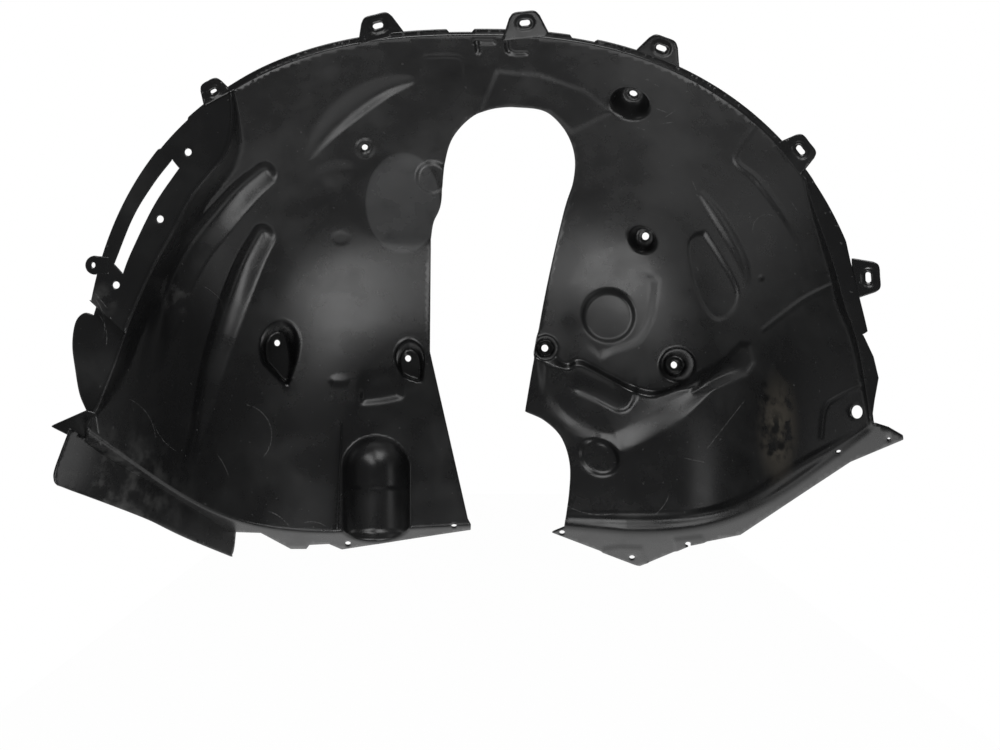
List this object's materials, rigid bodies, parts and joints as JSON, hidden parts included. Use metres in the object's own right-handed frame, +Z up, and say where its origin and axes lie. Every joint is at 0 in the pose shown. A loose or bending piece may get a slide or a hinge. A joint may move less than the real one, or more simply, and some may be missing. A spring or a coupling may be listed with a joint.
{
  "type": "wheel arch liner",
  "caption": "Moulded black plastic wheel arch liner: a bowl-shaped half shell with screw cups, stiffening beads, rim tabs, an air slot, a suspension cut-out and a hanging flap.",
  "frame": {"origin": "midway between the inner pair of screw holes, on the plane of their seats in the inner wall", "axes": "+X along the car, +Y inward from the wheel to the car's body, +Z up"},
  "size_m": [0.8212, 0.3343, 0.569],
  "materials": {
    "liner_plastic": "satin black moulded polypropylene, scuffed and a little dusty"
  },
  "bodies": {
    "root": {"arch_liner": "liner_plastic"}
  },
  "joints": []
}
